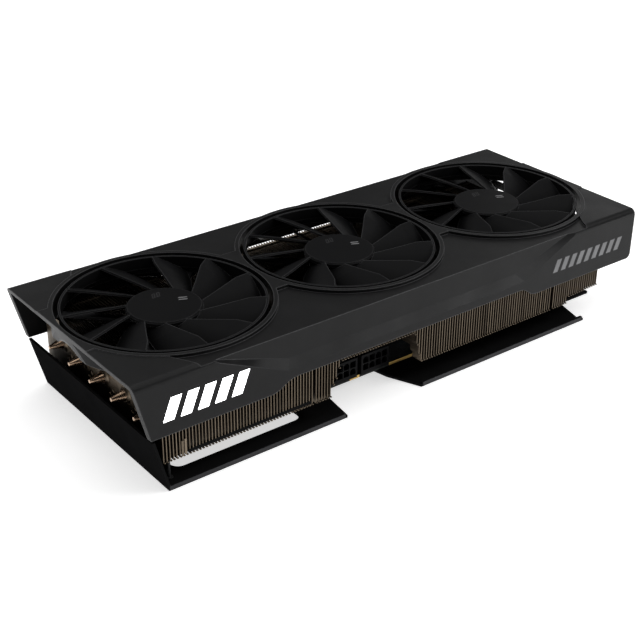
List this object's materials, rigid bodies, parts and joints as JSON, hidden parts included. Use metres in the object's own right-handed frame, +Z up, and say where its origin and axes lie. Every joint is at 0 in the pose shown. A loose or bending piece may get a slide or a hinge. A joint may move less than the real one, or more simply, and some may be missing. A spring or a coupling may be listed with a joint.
{
  "type": "graphics card",
  "caption": "Long slim graphics card: black shroud over large axial fans, bronze fin stacks on heat pipes, circuit board, slot bracket and a folded black backplate.",
  "frame": {"origin": "bottom centre of the whole card as it lies on its backplate with the fans up", "axes": "+X along the card towards the slot bracket, +Y across it towards the slot connector edge, +Z up out of the fans"},
  "size_m": [0.3376, 0.15, 0.06],
  "materials": {
    "shroud_plastic": "satin moulded black with a fine even texture",
    "light_diffuser": "milky diffuser, lit white from behind",
    "side_mark": "grey printed inlay",
    "led_board": "white solder mask",
    "fan_plastic": "satin moulded black",
    "motor_plastic": "moulded black",
    "steel": "ground steel",
    "magnet": "bonded magnet",
    "lead_sleeve": "black sleeve",
    "bearing_brass": "turned",
    "copper_wire": "enamelled copper windings",
    "black_screws": "black oxide",
    "header_plastic": "natural nylon",
    "plug_plastic": "black nylon",
    "fin_metal": "thin stamped fins with a dark bronze-nickel tint",
    "pipe_metal": "nickel-tinted copper",
    "circuit_board": "black solder mask",
    "gold": "gold plate",
    "chip_package": "moulded epoxy",
    "silicon": "polished silicon",
    "stiffener_steel": "stamped",
    "thermal_pad": "soft grey pad",
    "choke": "pressed ferrite",
    "capacitor_can": "bare can",
    "socket_plastic": "black nylon",
    "pin_metal": "tinned",
    "cold_plate_copper": "milled copper",
    "base_aluminium": "stamped",
    "backplate_coat": "satin black powder coat",
    "spring_steel": "stamped spring",
    "steel_screws": "zinc plated",
    "spacer_brass": "turned",
    "tab_steel": "black",
    "bracket_steel": "black nickel",
    "port_steel": "nickel shell",
    "port_plastic": "black insert"
  },
  "bodies": {
    "card": {"backplate": "backplate_coat", "backplate_screws": "black_screws", "base_plate": "base_aluminium", "board_spacers": "spacer_brass", "bracket_blocks": "port_steel", "bracket_screws": "steel_screws", "capacitors": "capacitor_can", "circuit_board": "circuit_board", "cold_plate": "cold_plate_copper", "display_port_shells": "port_steel", "display_port_tongues": "port_plastic", "edge_contacts": "gold", "fan_bearings": "bearing_brass", "fan_bracket_lead": "lead_sleeve", "fan_bracket_motor_base": "motor_plastic", "fan_coils": "copper_wire", "fan_headers": "header_plastic", "fan_middle_lead": "lead_sleeve", "fan_middle_motor_base": "motor_plastic", "fan_plugs": "plug_plastic", "fan_screws": "black_screws", "fan_tail_lead": "lead_sleeve", "fan_tail_motor_base": "motor_plastic", "fin_stack_bracket": "fin_metal", "fin_stack_middle": "fin_metal", "fin_stack_tail": "fin_metal", "heat_pipe_1": "pipe_metal", "heat_pipe_2": "pipe_metal", "heat_pipe_3": "pipe_metal", "heat_pipe_4": "pipe_metal", "heat_pipe_5": "pipe_metal", "memory_chips": "chip_package", "memory_pads": "thermal_pad", "power_chokes": "choke", "power_pins": "pin_metal", "power_socket_a": "socket_plastic", "power_socket_b": "socket_plastic", "power_stages": "chip_package", "processor_die": "silicon", "processor_package": "chip_package", "processor_stiffener": "stiffener_steel", "retention_screws": "steel_screws", "retention_spring": "spring_steel", "shroud": "shroud_plastic", "shroud_tabs": "tab_steel", "side_light_bars": "light_diffuser", "side_light_board": "led_board", "side_mark_inlays": "side_mark", "slot_bracket": "bracket_steel", "tail_pins": "tab_steel"},
    "fan_tail": {"fan_tail_rotor": "fan_plastic", "fan_tail_shaft": "steel", "fan_tail_magnet": "magnet"},
    "fan_middle": {"fan_middle_rotor": "fan_plastic", "fan_middle_shaft": "steel", "fan_middle_magnet": "magnet"},
    "fan_bracket": {"fan_bracket_rotor": "fan_plastic", "fan_bracket_shaft": "steel", "fan_bracket_magnet": "magnet"}
  },
  "joints": [
    {"name": "fan_tail_spin", "type": "hinge", "parent": "card", "child": "fan_tail", "pos_m": [-0.11405, -0.012, 0.053], "axis": [0, 0, 1], "continuous": true},
    {"name": "fan_middle_spin", "type": "hinge", "parent": "card", "child": "fan_middle", "pos_m": [-0.00625, -0.012, 0.053], "axis": [0, 0, 1], "continuous": true},
    {"name": "fan_bracket_spin", "type": "hinge", "parent": "card", "child": "fan_bracket", "pos_m": [0.10155, -0.012, 0.053], "axis": [0, 0, 1], "continuous": true}
  ]
}
